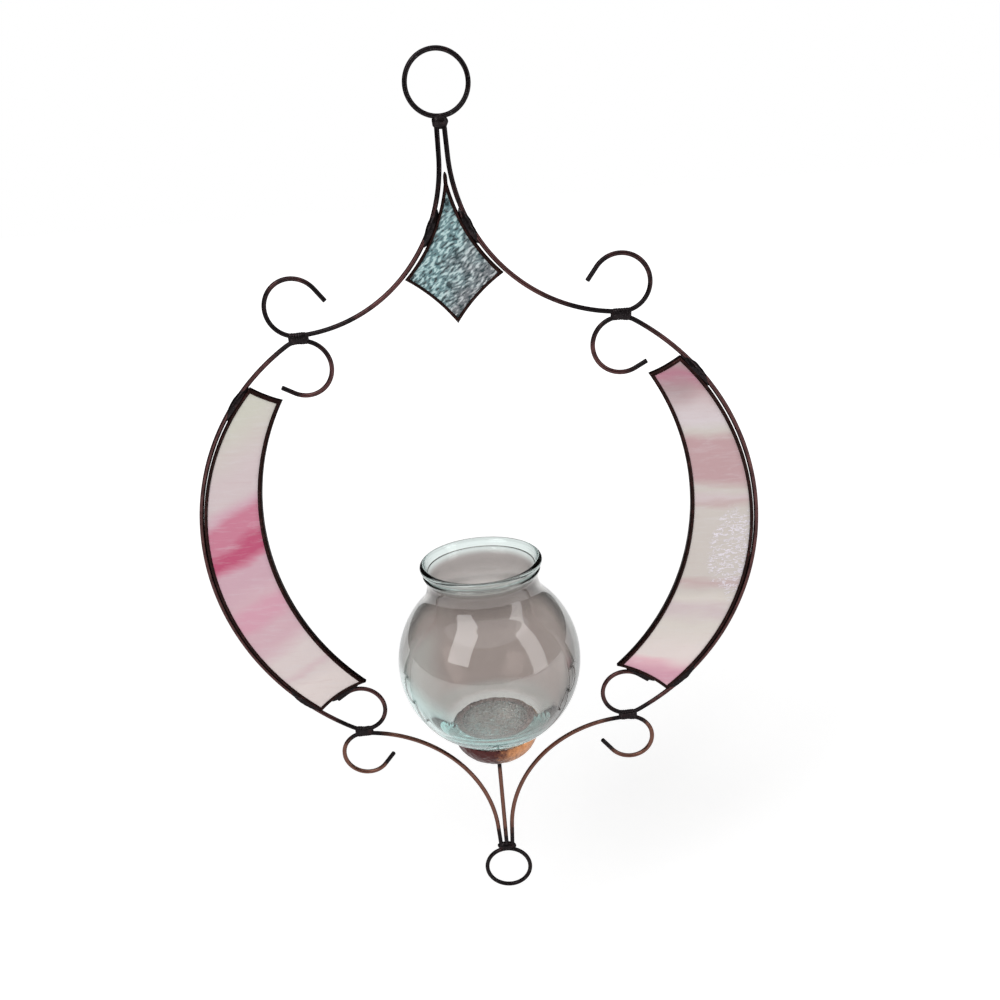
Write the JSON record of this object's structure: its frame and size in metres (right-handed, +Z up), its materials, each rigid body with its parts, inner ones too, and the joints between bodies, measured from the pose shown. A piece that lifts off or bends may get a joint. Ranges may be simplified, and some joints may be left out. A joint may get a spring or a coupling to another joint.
{
  "type": "hanging propagation vase",
  "caption": "Flat scrolled copper wire frame with foiled stained-glass panes, hung by a ring, with a copper cup on a stem that holds a round glass bowl for a plant cutting.",
  "frame": {"origin": "where a hook bears inside the top of the hanging ring, in the middle plane of the wire frame", "axes": "+Z up along the centre line of the frame, +X to the right seen from the front, -Y towards the viewer"},
  "size_m": [0.2472, 0.084, 0.3925],
  "materials": {
    "wire": "copper wire with a dark red-brown patina, near black at the joints and bright peach where it is rubbed",
    "dark_wire": "copper wire with a near black patina",
    "solder": "solder with a black patina, lumpy, with bright specks where it is rubbed",
    "foil": "copper foil under a thin bead of solder with a black-brown patina",
    "copper": "hammered copper sheet, stippled, darkened towards its rim",
    "bowl_glass": "clear pressed glass with a faint aqua tint and streaks in the heavy floor",
    "kite_glass": "rippled cathedral glass, teal fading to grey-mauve",
    "crescent_glass": "wispy opalescent glass, pale cream and pink with stronger pink bands"
  },
  "bodies": {
    "frame": {"hang_ring": "dark_wire", "bottom_ring": "dark_wire", "top_wire_right": "wire", "top_wire_left": "wire", "side_wire_right": "wire", "side_wire_left": "wire", "bottom_wire_right": "wire", "bottom_wire_left": "wire", "stem_wire": "wire", "ring_solder_top": "solder", "ring_solder_bottom": "solder", "upper_binding_right": "solder", "upper_binding_left": "solder", "lower_binding_right": "solder", "lower_binding_left": "solder", "kite_glass": "kite_glass", "kite_foil": "foil", "kite_solder_right": "solder", "kite_solder_left": "solder", "crescent_glass_right": "crescent_glass", "crescent_glass_left": "crescent_glass", "crescent_foil_right": "foil", "crescent_foil_left": "foil", "crescent_solder_upper_right": "solder", "crescent_solder_upper_left": "solder", "crescent_solder_lower_right": "solder", "crescent_solder_lower_left": "solder", "crescent_solder_tail_right": "solder", "crescent_solder_tail_left": "solder", "copper_cup": "copper", "stem_solder": "solder"},
    "bowl": {"glass_bowl": "bowl_glass"}
  },
  "joints": [
    {"name": "bowl_lift", "type": "slide", "parent": "frame", "child": "bowl", "axis": [0, 0, 1], "range_m": [0, 0.04]}
  ]
}
